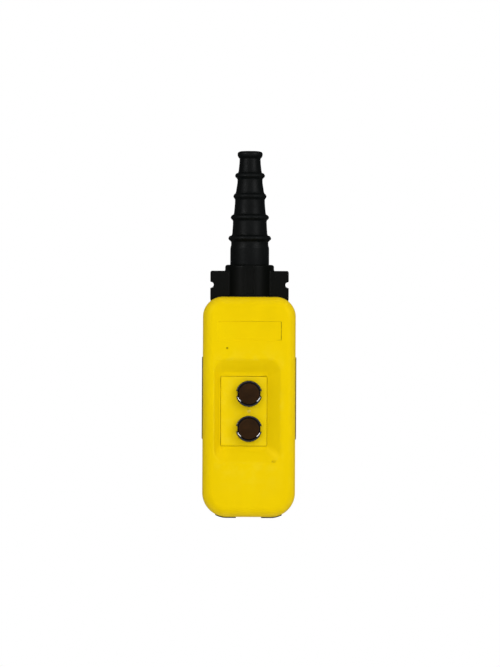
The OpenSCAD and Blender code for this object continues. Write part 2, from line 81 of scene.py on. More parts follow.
# ----------------------------------------------------------------------------
# mesh helpers
# ----------------------------------------------------------------------------
class Build:
    """Collects loops of points in (x, y, w) millimetres and the faces between them."""

    def __init__(self):
        self.v, self.f, self.mark = [], [], []

    def loop(self, pts, mark=0.0):
        start = len(self.v)
        self.v += [tuple(map(float, p)) for p in pts]
        self.mark += [float(m) for m in mark] if isinstance(mark, list) else [float(mark)] * len(pts)
        return list(range(start, len(self.v)))

    def bridge(self, a, b, closed=True):
        n = len(a)
        for i in range(n if closed else n - 1):
            j = (i + 1) % n
            self.f.append((a[i], a[j], b[j], b[i]))

    def rows(self, loops, closed=True):
        for a, b in zip(loops, loops[1:]):
            self.bridge(a, b, closed)

    def fill(self, outer, holes=(), axis=1):
        """Flat face between an outer loop and holes, in the plane across axis."""
        keep = [k for k in range(3) if k != axis]
        idx = list(outer) + [i for h in holes for i in h]
        flat = [tuple(self.v[i][k] for k in keep) for i in idx]
        edges, at = [], 0
        for lp in (outer, *holes):
            n = len(lp)
            edges += [(at + i, at + (i + 1) % n) for i in range(n)]
            at += n
        out = delaunay_2d_cdt([Vector(p) for p in flat], edges, [], 0, 1e-6)
        co = np.array([tuple(p) for p in out[0]])
        orig = [o[0] if o else None for o in out[3]]
        polys = [np.array([tuple(self.v[i][k] for k in keep) for i in lp]) for lp in (outer, *holes)]
        for tri in out[2]:
            c = co[list(tri)].mean(0)
            if not inside(c, polys[0]) or any(inside(c, q) for q in polys[1:]):
                continue
            if any(orig[t] is None for t in tri):
                continue
            self.f.append(tuple(idx[orig[t]] for t in tri))

    def mesh(self, name):
        me = bpy.data.meshes.new(name)
        me.from_pydata([row(p) for p in self.v], [], self.f)
        at = me.attributes.new("wear", "FLOAT", "POINT")
        at.data.foreach_set("value", [max(m, 0.0) for m in self.mark])
        # negative marks become painted shade: a darkening laid into grooves, pits and along the label's top and right
        # edges
        at = me.attributes.new("painted_shade", "FLOAT", "POINT")
        at.data.foreach_set("value", [max(-m, 0.0) for m in self.mark])
        me.validate()
        bm = bmesh.new()
        bm.from_mesh(me)
        bmesh.ops.remove_doubles(bm, verts=bm.verts, dist=1e-7)
        bmesh.ops.recalc_face_normals(bm, faces=bm.faces)
        bm.to_mesh(me)
        bm.free()
        return me


def inside(p, poly):
    x, y = p
    a, b = poly, np.roll(poly, -1, axis=0)
    cross = (a[:, 1] > y) != (b[:, 1] > y)
    with np.errstate(divide="ignore", invalid="ignore"):
        at = a[:, 0] + (y - a[:, 1]) * (b[:, 0] - a[:, 0]) / (b[:, 1] - a[:, 1])
    return bool(np.count_nonzero(cross & (x < at)) % 2)


def rrect(x0, x1, z0, z1, r, y, nc=14, ns=6, rb=None):
    """Rounded rectangle as a loop in the plane at y, with the same number of points whatever its size; rb rounds its two lower corners."""
    rb = r if rb is None else rb
    pts = []
    corners = [(x1 - r, z1 - r, 0, r), (x0 + r, z1 - r, 90, r), (x0 + rb, z0 + rb, 180, rb), (x1 - rb, z0 + rb, 270, rb)]
    for k, (cx, cz, a0, q) in enumerate(corners):
        arc = [(cx + q * math.cos(math.radians(a0 + 90 * i / nc)), cz + q * math.sin(math.radians(a0 + 90 * i / nc))) for i in range(nc + 1)]
        nx, nz, na, nq = corners[(k + 1) % 4]
        end = (nx + nq * math.cos(math.radians(na)), nz + nq * math.sin(math.radians(na)))
        pts += arc
        pts += [(arc[-1][0] + (end[0] - arc[-1][0]) * t / ns, arc[-1][1] + (end[1] - arc[-1][1]) * t / ns) for t in range(1, ns)]
    return [(x, y, z) for x, z in pts]


def circle(cx, cz, r, y, n=64, a0=0):
    return [(cx + r * math.cos(math.radians(a0 + 360 * i / n)), y, cz + r * math.sin(math.radians(a0 + 360 * i / n))) for i in range(n)]


def arc(cx, cy, r, a0, a1, n):
    return [(cx + r * math.cos(math.radians(a0 + (a1 - a0) * i / n)), cy + r * math.sin(math.radians(a0 + (a1 - a0) * i / n))) for i in range(n + 1)]


def rounded(points, radii, n=5):
    """Polyline of (a, b) whose corners are rounded by the given radii (0 keeps the corner)."""
    out = []
    for k, (p, r) in enumerate(zip(points, radii)):
        if r <= 0 or k in (0, len(points) - 1):
            out.append(tuple(p))
            continue
        a, b, c = (np.array(points[k - 1], float), np.array(p, float), np.array(points[k + 1], float))
        u, v = a - b, c - b
        lu, lv = np.linalg.norm(u), np.linalg.norm(v)
        u, v = u / lu, v / lv
        half = math.acos(max(-1, min(1, float(u @ v)))) / 2
        d = min(r / math.tan(half), lu * 0.49, lv * 0.49)
        r2 = d * math.tan(half)
        mid = (u + v) / np.linalg.norm(u + v)
        cen = b + mid * (r2 / math.sin(half))
        s, e = b + u * d - cen, b + v * d - cen
        a0 = math.atan2(s[1], s[0])
        da = (math.atan2(e[1], e[0]) - a0 + math.pi) % (2 * math.pi) - math.pi
        out += [tuple(cen + r2 * np.array([math.cos(a0 + da * i / n), math.sin(a0 + da * i / n)])) for i in range(n + 1)]
    return out


def finish_object(name, me, mat, body, nodes, sharp=40, weighted=True):
    for p in me.polygons:
        p.use_smooth = True
    me.set_sharp_from_angle(angle=math.radians(sharp))
    ob = bpy.data.objects.new(name, me)
    bpy.context.scene.collection.objects.link(ob)
    me.materials.clear()
    me.materials.append(mat)
    if weighted:
        m = ob.modifiers.new("normals", "WEIGHTED_NORMAL")
        m.keep_sharp = True
        m.mode = "FACE_AREA"
        m.weight = 60
    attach(ob, body)
    if nodes:
        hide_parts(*nodes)
    return ob


def lathe(name, profile, mat, body, nodes, centre=(0, 0), along="y", n=128, sharp=40, marks=None, closed=False):
    """Turns a profile of (radius, position) about an axis along Y at (x, w), or along Z at (x, y)."""
    b = Build()
    loops = []
    for k, (r, t) in enumerate(profile):
        mk = marks[k] if marks else 0.0
        if r < 1e-6:
            p = (centre[0], t, centre[1]) if along == "y" else (centre[0], centre[1], t)
            loops.append(b.loop([p], mk))
            continue
        pts = []
        for i in range(n):
            a = 2 * math.pi * i / n
            if along == "y":
                pts.append((centre[0] + r * math.cos(a), t, centre[1] + r * math.sin(a)))
            else:
                pts.append((centre[0] + r * math.cos(a), centre[1] + r * math.sin(a), t))
        loops.append(b.loop(pts, mk))
    pairs = list(zip(loops, loops[1:]))
    if closed:
        pairs.append((loops[-1], loops[0]))
    for p, q in pairs:
        if len(p) == 1:
            b.f += [(p[0], q[i], q[(i + 1) % n]) for i in range(n)]
        elif len(q) == 1:
            b.f += [(p[i], p[(i + 1) % n], q[0]) for i in range(n)]
        else:
            b.bridge(p, q)
    return finish_object(name, b.mesh(name), mat, body, nodes, sharp)


# ----------------------------------------------------------------------------
# solids from distance fields, for moulded pieces with rounded inner and outer corners
# ----------------------------------------------------------------------------
def r_and(a, b, r):
    """Both, with the outer corner rounded by r."""
    return np.minimum(-r, np.maximum(a, b)) + np.hypot(np.maximum(a + r, 0), np.maximum(b + r, 0)) if r else np.maximum(a, b)


def r_or(a, b, r):
    """Either, with the inner corner filled by r."""
    return np.maximum(r, np.minimum(a, b)) - np.hypot(np.maximum(r - a, 0), np.maximum(r - b, 0)) if r else np.minimum(a, b)


def surface(name, f, lo, hi, h):
    """Closed mesh of f = 0 in millimetres, on a grid of step h, its points moved onto the true surface."""
    lo, hi = np.array(lo, float) - 1.5 * h, np.array(hi, float) + 1.5 * h
    n = np.ceil((hi - lo) / h).astype(int) + 1
    ax = [lo[k] + h * np.arange(n[k]) for k in range(3)]
    v = np.empty(n, np.float32)
    for i, x in enumerate(ax[0]):
        y, z = np.meshgrid(ax[1], ax[2], indexing="ij")
        v[i] = f(np.full_like(y, x), y, z)
    neg = v < 0
    cells = n - 1
    total = np.zeros((*cells, 3))
    count = np.zeros(cells, np.int32)
    quads = []
    ids = np.arange(np.prod(cells)).reshape(cells)
    for k in range(3):
        a = [slice(None)] * 3
        b = [slice(None)] * 3
        a[k], b[k] = slice(0, -1), slice(1, None)
        va, vb = v[tuple(a)], v[tuple(b)]
        hit = neg[tuple(a)] != neg[tuple(b)]
        idx = np.argwhere(hit)
        t = va[hit] / (va[hit] - vb[hit])
        pos = idx.astype(float)
        pos[:, k] += t
        o1, o2 = [q for q in range(3) if q != k]
        ring = []
        ok = np.ones(len(idx), bool)
        for d1, d2 in ((0, 0), (-1, 0), (-1, -1), (0, -1)):
            c = idx.copy()
            c[:, o1] += d1
            c[:, o2] += d2
            good = ((c >= 0) & (c < cells)).all(1)
            ok &= good
            cc = c[good]
            np.add.at(count, tuple(cc.T), 1)
            for q in range(3):
                np.add.at(total[..., q], tuple(cc.T), pos[good][:, q])
            ring.append(np.where(good[:, None], c, 0))
        q4 = np.stack([ids[tuple(r.T)] for r in ring], 1)[ok]
        flip = neg[tuple(a)][hit][ok] ^ (k == 1)
        q4[flip] = q4[flip][:, ::-1]
        quads.append(q4)
    used = np.flatnonzero(count.reshape(-1))
    where = np.full(count.size, -1)
    where[used] = np.arange(len(used))
    p = total.reshape(-1, 3)[used] / count.reshape(-1)[used][:, None]
    p = lo + p * h
    quads = where[np.concatenate(quads)]

    def slope(p, e=0.03):
        g = np.empty_like(p)
        for q in range(3):
            d = np.zeros(3)
            d[q] = e
            g[:, q] = (f(*(p + d).T) - f(*(p - d).T)) / (2 * e)
        return g

    for _ in range(4):
        g = slope(p)
        step = f(*p.T)[:, None] * g / np.maximum((g * g).sum(1), 0.05)[:, None]
        long = np.linalg.norm(step, axis=1, keepdims=True)
        p = p - step * np.minimum(1, 0.5 * h / np.maximum(long, 1e-9))
    g = slope(p, 0.06)
    g /= np.maximum(np.linalg.norm(g, axis=1, keepdims=True), 1e-9)
    me = bpy.data.meshes.new(name)
    me.from_pydata((p * MM + np.array([0, 0, Z0])).tolist(), [], quads[:, ::-1].tolist())
    me.validate()
    return me, p, g


def field_object(name, f, lo, hi, h, mat, body, nodes, ratio=None, wear=None):
    me, p, g = surface(name, f, lo, hi, h)
    if len(me.vertices) == len(p):
        at = me.attributes.new("wear", "FLOAT", "POINT")
        # how strongly the surface curves outwards over a millimetre or so: worn a little there
        out = (f(*(p - g * 0.8).T) + 0.8)
        at.data.foreach_set("value", np.clip(out * 2.2, 0, 1).astype(np.float32))
        for q in me.polygons:
            q.use_smooth = True
        me.normals_split_custom_set_from_vertices(g.tolist())
    ob = bpy.data.objects.new(name, me)
    bpy.context.scene.collection.objects.link(ob)
    me.materials.append(mat)
    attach(ob, body)
    if nodes:
        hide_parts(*nodes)
    return ob


# ----------------------------------------------------------------------------
# materials
# ----------------------------------------------------------------------------
def material(name):
    m = bpy.data.materials.new(name)
    m.use_nodes = True
    nt = m.node_tree
    nt.nodes.clear()
    out = nt.nodes.new("ShaderNodeOutputMaterial")
    p = nt.nodes.new("ShaderNodeBsdfPrincipled")
    nt.links.new(p.outputs["BSDF"], out.inputs["Surface"])
    return m, nt, p


def node(nt, kind, **values):
    n = nt.nodes.new(kind)
    for k, v in values.items():
        if k in n.inputs:
            n.inputs[k].default_value = v
        else:
            setattr(n, k, v)
    return n


def noise(nt, vec, scale, detail=4.0, rough=0.5, distortion=0.0):
    n = node(nt, "ShaderNodeTexNoise", Scale=scale, Detail=detail, Roughness=rough, Distortion=distortion)
    nt.links.new(vec, n.inputs["Vector"])
    return n.outputs["Fac"]


def ramp(nt, fac, stops):
    n = nt.nodes.new("ShaderNodeValToRGB")
    el = n.color_ramp.elements
    while len(el) < len(stops):
        el.new(0.5)
    for e, (pos, col) in zip(el, stops):
        e.position = pos
        e.color = (*col, 1) if len(col) == 3 else col
    nt.links.new(fac, n.inputs["Fac"])
    return n.outputs["Color"]


def span(nt, fac, lo, hi, a=0.0, b=1.0):
    n = node(nt, "ShaderNodeMapRange", clamp=True)
    n.inputs["From Min"].default_value = a
    n.inputs["From Max"].default_value = b
    n.inputs["To Min"].default_value = lo
    n.inputs["To Max"].default_value = hi
    nt.links.new(fac, n.inputs["Value"])
    return n.outputs["Result"]


def maths(nt, op, a, b=None, clamp=False):
    n = node(nt, "ShaderNodeMath", operation=op, use_clamp=clamp)
    for k, v in enumerate((a, b)):
        if v is None:
            continue
        if isinstance(v, (int, float)):
            n.inputs[k].default_value = v
        else:
            nt.links.new(v, n.inputs[k])
    return n.outputs[0]


def mix(nt, fac, a, b, kind="MIX"):
    n = node(nt, "ShaderNodeMix", data_type="RGBA", blend_type=kind)
    for k, v in ((0, fac), (6, a), (7, b)):
        if isinstance(v, (int, float)):
            n.inputs[k].default_value = v
        elif isinstance(v, tuple):
            n.inputs[k].default_value = (*v, 1)
        else:
            nt.links.new(v, n.inputs[k])
    return n.outputs[2]


def coords(nt, stretch=(1, 1, 1)):
    t = nt.nodes.new("ShaderNodeTexCoord")
    m = nt.nodes.new("ShaderNodeMapping")
    m.inputs["Scale"].default_value = stretch
    nt.links.new(t.outputs["Object"], m.inputs["Vector"])
    return m.outputs["Vector"]


def bumps(nt, p, layers):
    """Chains bump layers of (height output, strength, distance in metres)."""
    prev = None
    for height, strength, distance in layers:
        b = node(nt, "ShaderNodeBump", Strength=strength, Distance=distance)
        nt.links.new(height, b.inputs["Height"])
        if prev is not None:
            nt.links.new(prev, b.inputs["Normal"])
        prev = b.outputs["Normal"]
    nt.links.new(prev, p.inputs["Normal"])


def wear_mask(nt, vec, scale=180.0, lo=0.45, hi=0.75):
    a = node(nt, "ShaderNodeAttribute", attribute_name="wear")
    broken = span(nt, noise(nt, vec, scale, 5, 0.6), 0, 1, lo, hi)
    return maths(nt, "MULTIPLY", a.outputs["Fac"], broken, clamp=True)


def plastic(name, base, tint, rough=(0.36, 0.46), grain=2600.0, grain_d=0.000018, wear_col=None, wear_amt=0.35, ior=1.5, swirl=0.03, scratch=True, spec=0.5, gloss=(1, 1, 1), painted_shade=None):
    """Moulded plastic: faint flow marks in the colour, a fine spark-eroded grain, hairline scratches, edges rubbed
    smoother and lighter, and where asked painted shade darkening its grooves and pits.
    """
    m, nt, p = material(name)
    vec = coords(nt)
    flow = noise(nt, coords(nt, (1, 1, 0.35)), 22, 3, 0.5, 1.2)
    fine = noise(nt, vec, 260, 4, 0.6)
    col = ramp(nt, flow, [(0.3, tuple(c * (1 - swirl) for c in base)), (0.5, base), (0.72, tint)])
    col = mix(nt, span(nt, fine, 0, 0.10, 0.35, 0.7), col, tuple(c * 0.90 for c in base))
    mask = wear_mask(nt, vec)
    if wear_col:
        col = mix(nt, maths(nt, "MULTIPLY", mask, wear_amt), col, wear_col)
    # painted shade: darkens the colour where the painted_shade attribute is set, broken up by noise
    if painted_shade:
        a = node(nt, "ShaderNodeAttribute", attribute_name="painted_shade")
        col = mix(nt, maths(nt, "MULTIPLY", a.outputs["Fac"], span(nt, noise(nt, vec, 300, 4, 0.6), 0.65, 1.0, 0.35, 0.65), clamp=True), col, painted_shade)
    nt.links.new(col, p.inputs["Base Color"])
    r = span(nt, noise(nt, vec, 55, 5, 0.6), rough[0], rough[1], 0.3, 0.7)
    r = maths(nt, "SUBTRACT", r, maths(nt, "MULTIPLY", mask, 0.07))
    layers = [(noise(nt, vec, grain, 3, 0.6), 0.35, grain_d), (noise(nt, vec, 130, 3, 0.5), 0.10, 0.00012)]
    if scratch:
        s1 = noise(nt, coords(nt, (60, 900, 25)), 1.6, 2, 0.4, 0.4)
        s2 = noise(nt, coords(nt, (900, 500, 60)), 1.3, 2, 0.4, 0.8)
        line = maths(nt, "ADD", span(nt, s1, 0, 1, 0.68, 0.74), span(nt, s2, 0, 1, 0.69, 0.74), clamp=True)
        r = maths(nt, "ADD", r, maths(nt, "MULTIPLY", line, 0.05))
        layers.append((line, 0.12, 0.00001))
    nt.links.new(r, p.inputs["Roughness"])
    p.inputs["IOR"].default_value = ior
    p.inputs["Specular IOR Level"].default_value = spec
    p.inputs["Specular Tint"].default_value = (*gloss, 1)
    bumps(nt, p, layers)
    return m


def rubber(name, base, rough=(0.5, 0.66), grain=1900.0, streak=True, bloom=0.5, sheen=0.06, spec=0.5, tint=(1, 1, 1)):
    """Moulded rubber: matt, with faint mould streaks, dust in its pores and a greyish bloom where it is handled."""
    m, nt, p = material(name)
    vec = coords(nt)
    mott = noise(nt, vec, 70, 5, 0.62, 0.3)
    dark = tuple(c * 0.7 for c in base)
    light = tuple(c * 1.7 * t for c, t in zip(base, tint))
    col = ramp(nt, mott, [(0.32, dark), (0.55, base), (0.78, light)])
    if streak:
        lines = noise(nt, coords(nt, (260, 260, 14)), 1.0, 3, 0.6)
        col = mix(nt, span(nt, lines, 0, 0.55, 0.5, 0.8), col, light)
    mask = wear_mask(nt, vec, 240, 0.35, 0.7)
    col = mix(nt, maths(nt, "MULTIPLY", mask, bloom), col, tuple(c * 2.6 + 0.006 for c in base))
    nt.links.new(col, p.inputs["Base Color"])
    r = span(nt, noise(nt, vec, 90, 4, 0.6), rough[0], rough[1], 0.3, 0.7)
    nt.links.new(r, p.inputs["Roughness"])
    p.inputs["IOR"].default_value = 1.5
    p.inputs["Specular IOR Level"].default_value = spec
    p.inputs["Sheen Weight"].default_value = sheen
    p.inputs["Sheen Roughness"].default_value = 0.5
    layers = [(noise(nt, vec, grain, 3, 0.65), 0.5, 0.00003), (noise(nt, vec, 520, 4, 0.7), 0.45, 0.0002), (noise(nt, vec, 160, 4, 0.6), 0.22, 0.00014)]
    bumps(nt, p, layers)
    return m


def metal(name, base, dark, rough=(0.22, 0.42), brush=(1, 1, 1), stain=0.35):
    """Plated or rolled metal: drawn lines, cloudy plating and dull stains."""
    m, nt, p = material(name)
    vec = coords(nt)
    cloud = noise(nt, vec, 110, 5, 0.65, 0.4)
    col = ramp(nt, cloud, [(0.3, dark), (0.62, base)])
    spots = span(nt, noise(nt, vec, 420, 4, 0.7), 0, stain, 0.58, 0.75)
    col = mix(nt, spots, col, tuple(c * 0.45 for c in base))
    nt.links.new(col, p.inputs["Base Color"])
    lines = noise(nt, coords(nt, brush), 900, 2, 0.5)
    r = maths(nt, "ADD", span(nt, cloud, rough[0], rough[1], 0.3, 0.7), maths(nt, "MULTIPLY", lines, 0.08))
    nt.links.new(r, p.inputs["Roughness"])
    p.inputs["Metallic"].default_value = 1.0
    bumps(nt, p, [(lines, 0.25, 0.00001), (noise(nt, vec, 300, 3, 0.6), 0.12, 0.00004)])
    return m


YELLOW = (0.885, 0.615, 0.0008)
mats = {
    # the yellow case's painted_shade colour is the dark yellow used as painted shade in its grooves and pits
    "yellow_shell": plastic("yellow_case", YELLOW, (0.90, 0.645, 0.001), rough=(0.36, 0.45), spec=0.4, gloss=(1.0, 0.74, 0.03), wear_col=(0.93, 0.74, 0.05), wear_amt=0.30, painted_shade=(0.09, 0.058, 0.002)),
    "yellow_plate": plastic("yellow_button_plate", (0.89, 0.63, 0.001), (0.91, 0.665, 0.002), spec=0.4, gloss=(1.0, 0.76, 0.06), rough=(0.30, 0.38), grain=3200, grain_d=0.00001, wear_col=(0.94, 0.78, 0.08), wear_amt=0.25),
    "black_rubber": rubber("gasket_rubber", (0.006, 0.006, 0.0065), streak=False, spec=0.15, sheen=0.0),
    "sleeve_rubber": rubber("sleeve_rubber", (0.0028, 0.0038, 0.0037), rough=(0.42, 0.56), spec=0.15, sheen=0.0, bloom=0.4),
    "hard_black": plastic("black_moulding", (0.0020, 0.0026, 0.0018), (0.0036, 0.0042, 0.0034), rough=(0.36, 0.48), spec=0.11, grain=1500, grain_d=0.00003, wear_col=(0.02, 0.02, 0.021), wear_amt=0.5, swirl=0.2),
    "bezel_black": plastic("bezel_plastic", (0.0022, 0.0014, 0.0024), (0.0034, 0.0022, 0.0040), rough=(0.08, 0.13), spec=0.7, grain=4000, grain_d=0.000004, wear_col=(0.03, 0.03, 0.03), wear_amt=0.06, swirl=0.1),
    "cap_rubber": rubber("cap_rubber", (0.0320, 0.0130, 0.0024), rough=(0.42, 0.54), grain=2600, streak=False, bloom=0.12, sheen=0.0, spec=0.07, tint=(1.1, 0.9, 0.8)),
    "dark_steel": metal("blackened_steel", (0.14, 0.14, 0.145), (0.05, 0.05, 0.055), rough=(0.34, 0.5)),
    "zinc_steel": metal("zinc_plate", (0.66, 0.67, 0.66), (0.42, 0.43, 0.44)),
    "spring_steel": metal("spring_wire", (0.62, 0.61, 0.6), (0.4, 0.39, 0.38), rough=(0.15, 0.3)),
    "brass": metal("turned_brass", (0.83, 0.60, 0.27), (0.55, 0.36, 0.13), rough=(0.2, 0.36)),
    "copper": metal("rolled_copper", (0.85, 0.46, 0.30), (0.55, 0.25, 0.14), rough=(0.22, 0.38)),
    "grey_block": plastic("block_thermoset", (0.045, 0.048, 0.055), (0.065, 0.069, 0.078), rough=(0.45, 0.6), grain=1400, grain_d=0.00003, wear_col=(0.12, 0.12, 0.13), swirl=0.2),
    "red_plunger": plastic("red_plunger", (0.48, 0.03, 0.018), (0.56, 0.05, 0.03), rough=(0.28, 0.4), wear_col=(0.6, 0.15, 0.1)),
    "natural_plastic": plastic("acetal", (0.66, 0.64, 0.56), (0.72, 0.70, 0.63), rough=(0.3, 0.42), wear_col=(0.75, 0.74, 0.7)),
    "pale_pin": plastic("pale_pin", (0.82, 0.60, 0.05), (0.86, 0.66, 0.09), rough=(0.3, 0.4), wear_col=(0.9, 0.75, 0.25), spec=0.4, gloss=(1.0, 0.8, 0.2)),
}

slot_of = {s["node"]: s["material_slot"] for s in frame["record"]["subparts"]}
for name, ob in frame["nodes"].items():
    ob.data.materials.clear()
    ob.data.materials.append(mats[slot_of[name]])

body_of_node = {n: b for b, ns in frame["record"]["behaviour"]["bodies"].items() for n in ns}
ROOT = body_of_node["front_shell"]

# ----------------------------------------------------------------------------
# front shell
# ----------------------------------------------------------------------------
X0, X1 = -BW / 2, BW / 2
plate_lo, plate_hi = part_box("button_plate")
PL = [plate_lo[0] / MM, plate_hi[0] / MM, (plate_lo[2] - Z0) / MM, (plate_hi[2] - Z0) / MM]  # x0, x1, w0, w1
PY0, PY1 = plate_lo[1] / MM, plate_hi[1] / MM
Z_UP = ((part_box("bezel_upper")[0][2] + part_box("bezel_upper")[1][2]) / 2 - Z0) / MM
Z_LO = ((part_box("bezel_lower")[0][2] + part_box("bezel_lower")[1][2]) / 2 - Z0) / MM
FLOOR_Y = PY1 - 1.5                                # recess floor
MOUTH = (-29.9, 27.5, 46.0, 135.5)
FLOOR = (-25.2, 16.0, 57.0, 124.3)
LABEL = (-27.7, 27.7, 150.5, 167.7)


def case_loop(g, y, nc=20, ns=10):
    return rrect(X0 + g, X1 - g, g, BH - g, max(CR - g, 0.5), y, nc, ns, max(CF - g, 0.5))


def lerp4(a, b, t):
    return [a[k] + (b[k] - a[k]) * t for k in range(4)]


def recess_rows(b, mouth, floor, y_top, y_bot, r0, r1, rim, toe, nc=14, ns=8, n=6, edge=-99.0):
    """Rows down the sloping sides of a recess, its rim rounded over a share rim of the slope and its foot over a share toe. Drawn as a smooth S along the slope."""
    rows = []
    # profile t (share across), s (share deep): a curve over the rim, the slope, a curve into the floor
    if rim:
        prof = [(-rim * (1 - u) ** 2 + rim * u * u, rim * u * u) for u in np.linspace(0, 1, n + 1)]
        prof += [(1 - toe * (1 - u) ** 2 + toe * u * u, 1 - toe * (1 - u) ** 2) for u in np.linspace(0, 1, n + 1)]
    else:
        prof = [(0, 0), (0.5, 0.5), (1, 1)]
    for t, s in prof:
        k = lerp4(mouth, floor, t)
        if t > 1:
            k[1] = max(k[1], edge)
        r = r0 + (r1 - r0) * min(max(t, 0), 1)
        rows.append(b.loop(rrect(k[0], k[1], k[2], k[3], r, y_top + (y_bot - y_top) * s, nc, ns), 0.8 if s < 0.12 else 0.0))
    return rows


def build_front():
    b = Build()
    # outside: rim, side wall, rounded front edge
    prof = rounded([(WALL, 0.0), (0.0, 0.0), (0.0, -14.0)], [0, 0.35, 0], 3)
    outer = [b.loop(case_loop(g, y), 0.9 if y > -0.4 else 0) for g, y in prof]
    outer += [b.loop(case_loop(0, y), 0) for y in (-20.0, -26.0)]
    for i in range(13):
        a = math.radians(90 * i / 12)
        outer.append(b.loop(case_loop(FF * (1 - math.cos(a)), YF + FF - FF * math.sin(a)), 0.35 if 2 < i < 10 else 0.0))
    b.rows(outer)
    # recess
    rec = recess_rows(b, MOUTH, FLOOR, YF, FLOOR_Y, 11.0, 5.0, 0.15, 0.10, edge=PL[1] + 0.5)
    b.rows(rec)
    # blank label field
    def label_edge_shade(pts, d):
        """Painted shade along the label's top and right edges."""
        return [-0.75 if 0.05 < d < 0.39 and ((x > LABEL[1] - 1.2 and w > 151.8) or (w > LABEL[3] - 1.0 and x > -4)) else 0.0 for x, y, w in pts]

    lab = [b.loop(q, label_edge_shade(q, d)) for q, d in ((rrect(LABEL[0] + e, LABEL[1] - max(g, 5 * g), LABEL[2] + e, LABEL[3] - g, 0.6, YF + d, 4, 12), d)
           for g, e, d in ((-0.12, -0.1, 0), (-0.04, 0.15, 0.02), (0.0, 0.5, 0.08), (0.03, 1.1, 0.32), (0.08, 1.4, 0.38), (0.16, 1.8, 0.4)))]
    b.rows(lab)
    b.fill(lab[-1])
    # gate mark, a pit darkened inside with painted shade
    gate = [b.loop(circle(-18.9, 144.8, r, YF + d, 24), -0.72 if d > 0.02 else 0.0) for r, d in ((1.02, 0), (0.93, 0.05), (0.88, 0.4), (0.72, 0.45), (0.35, 0.36))]
    b.rows(gate)
    b.fill(gate[-1])
    # witness mark left by the mould's insert, a pit darkened inside with painted shade
    dash = [b.loop(rrect(19.9 - g, 22.7 + g, 47.4 - g, 48.4 + g, 0.3, YF + d, 4, 2), -1.0 if d > 0.02 else 0.0) for g, d in ((0.15, 0), (0.04, 0.06), (-0.02, 0.5), (-0.15, 0.7))]
    b.rows(dash)
    b.fill(dash[-1])
    b.fill(outer[-1], [rec[0], lab[0], gate[0], dash[0]])
    # pocket for the button plate, its groove walls darkened with painted shade
    pk = [b.loop(rrect(PL[0] - 0.3 - g, PL[1] + 0.3 + g, PL[2] - 0.3 - g, PL[3] + 0.3 + g, 0.5 + g, y, 4, 6), 0.4 if y < FLOOR_Y + 0.01 else -0.55)
          for g, y in ((0.12, FLOOR_Y), (0.04, FLOOR_Y + 0.02), (0.0, FLOOR_Y + 0.1), (0.0, PY1 - 0.1), (0, PY1))]
    b.rows(pk)
    b.fill(rec[-1], [pk[0]])
    holes = []
    for w in (Z_UP, Z_LO):
        h = [b.loop(circle(0, w, 8.15, y, 64)) for y in (PY1, PY1 + 1.0, PY1 + 2.0)]
        b.rows(h)
        holes.append(h)
    b.fill(pk[-1], [h[0] for h in holes])
    # inside
    inner = [b.loop(case_loop(WALL, y)) for y in (0.0, -14.0, -26.0)]
    for i in range(7):
        a = math.radians(90 * i / 6)
        f = FF - WALL
        inner.append(b.loop(case_loop(WALL + f * (1 - math.cos(a)), YF + WALL + f - f * math.sin(a))))
    b.rows(inner)
    grow = lambda q, g: (q[0] - g, q[1] + g, q[2] - g, q[3] + g)
    rin = recess_rows(b, grow(MOUTH, 2.2), grow(FLOOR, 2.6), YF + WALL, PY1 + 2.0, 12.0, 6.0, 0.0, 0.0)
    b.rows(rin)
    b.fill(inner[-1], [rin[0]])
    b.fill(rin[-1], [h[-1] for h in holes])
    me = b.mesh("front_case")
    return finish_object("front_case", me, mats["yellow_shell"], ROOT, ["front_shell"], 50)


front = build_front()


def build_plate():
    b = Build()
    prof = [(0.0, PY1), (0.0, PY0 + 0.25)] + [(0.25 - 0.25 * math.cos(math.radians(a)), PY0 + 0.25 - 0.25 * math.sin(math.radians(a))) for a in (22, 45, 67, 90)]
    rows = [b.loop(rrect(PL[0] + g, PL[1] - g, PL[2] + g, PL[3] - g, 0.8, y, 6, 6), 0.7 if y < PY0 + 0.2 else 0) for g, y in prof]
    b.rows(rows)
    fronts, backs = [], []
    for w in (Z_UP, Z_LO):
        h = [b.loop(circle(0, w, r, y, 64), 0.4) for r, y in ((8.35, PY0), (8.2, PY0 + 0.05), (8.15, PY0 + 0.2), (8.15, PY1))]
        b.rows(h)
        fronts.append(h[0])
        backs.append(h[-1])
    b.fill(rows[-1], fronts)
    b.fill(rows[0], backs)
    return finish_object("button_panel", b.mesh("button_panel"), mats["yellow_plate"], ROOT, ["button_plate"], 50)


build_plate()


